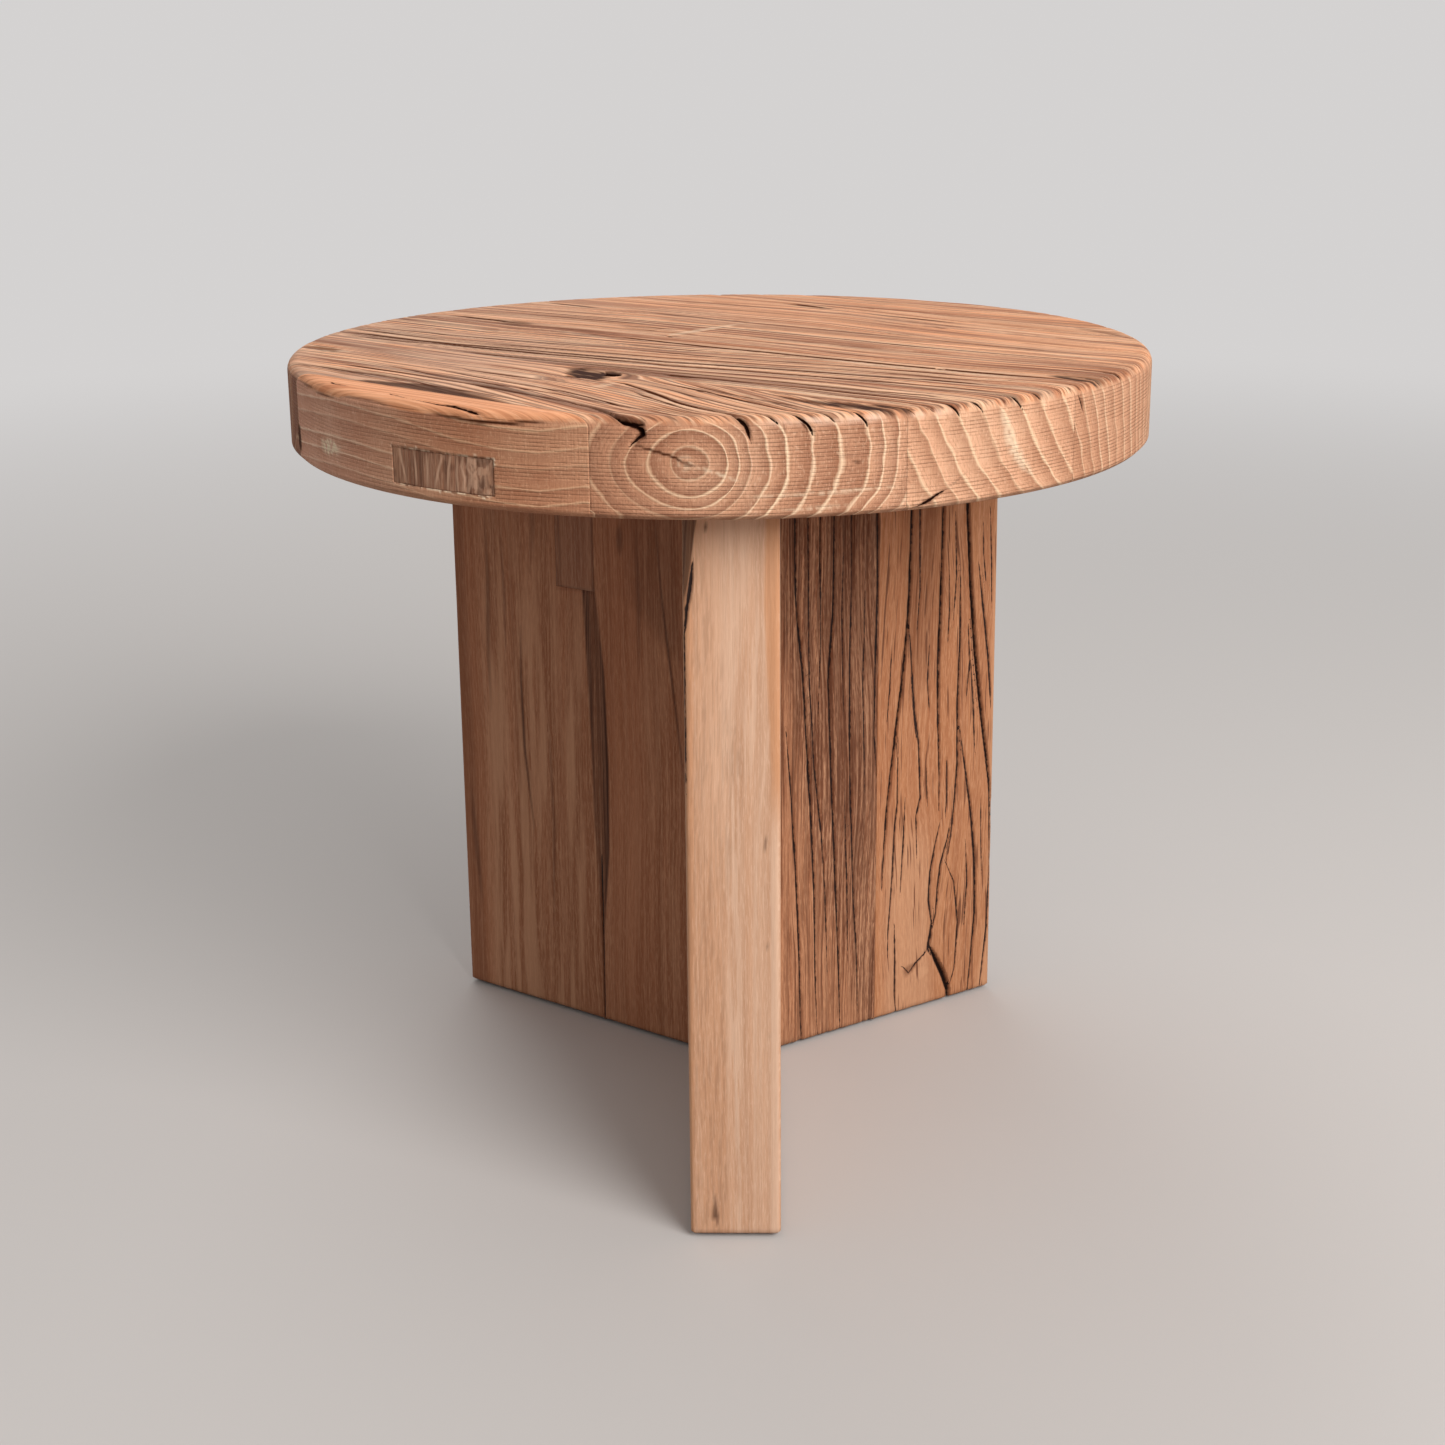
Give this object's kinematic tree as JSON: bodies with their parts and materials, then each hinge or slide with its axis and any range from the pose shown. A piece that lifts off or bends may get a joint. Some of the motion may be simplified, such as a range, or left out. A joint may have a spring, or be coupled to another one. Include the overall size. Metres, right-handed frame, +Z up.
{
  "type": "side table",
  "caption": "Round side table in reclaimed wood: a thick glued-up round top on a base of upright slab blades mitred together in a Y.",
  "frame": {"origin": "on the floor, under the centre of the round top", "axes": "+Z up, -Y towards the front blade of the base, +X to the right seen from the front"},
  "size_m": [0.5, 0.5, 0.45],
  "materials": {
    "top_wood": "brushed, dull",
    "patch_wood": "planed, dull",
    "planed_wood": "planed, dull",
    "weathered_wood": "weathered, ridged",
    "split_wood": "planed, with drying splits",
    "joinery_wood": "bare beech",
    "felt": "felt"
  },
  "bodies": {
    "root": {"top_board_1": "top_wood", "top_board_2": "top_wood", "top_board_3": "top_wood", "top_board_4": "top_wood", "top_board_5": "top_wood", "top_board_6": "top_wood", "rim_patch": "patch_wood", "front_blade_inner_board": "planed_wood", "front_blade_outer_board": "planed_wood", "right_blade_inner_board": "weathered_wood", "right_blade_outer_board": "split_wood", "left_blade_inner_board": "planed_wood", "left_blade_outer_board": "planed_wood", "left_blade_notch_block": "patch_wood", "front_blade_inner_dowel": "joinery_wood", "front_blade_outer_dowel": "joinery_wood", "right_blade_inner_dowel": "joinery_wood", "right_blade_outer_dowel": "joinery_wood", "left_blade_inner_dowel": "joinery_wood", "left_blade_outer_dowel": "joinery_wood", "tenon_front_right_low": "joinery_wood", "tenon_front_right_middle": "joinery_wood", "tenon_front_right_high": "joinery_wood", "tenon_right_left_low": "joinery_wood", "tenon_right_left_middle": "joinery_wood", "tenon_right_left_high": "joinery_wood", "tenon_left_front_low": "joinery_wood", "tenon_left_front_middle": "joinery_wood", "tenon_left_front_high": "joinery_wood", "front_blade_inner_pad": "felt", "front_blade_outer_pad": "felt", "right_blade_inner_pad": "felt", "right_blade_outer_pad": "felt", "left_blade_inner_pad": "felt", "left_blade_outer_pad": "felt"}
  },
  "joints": []
}
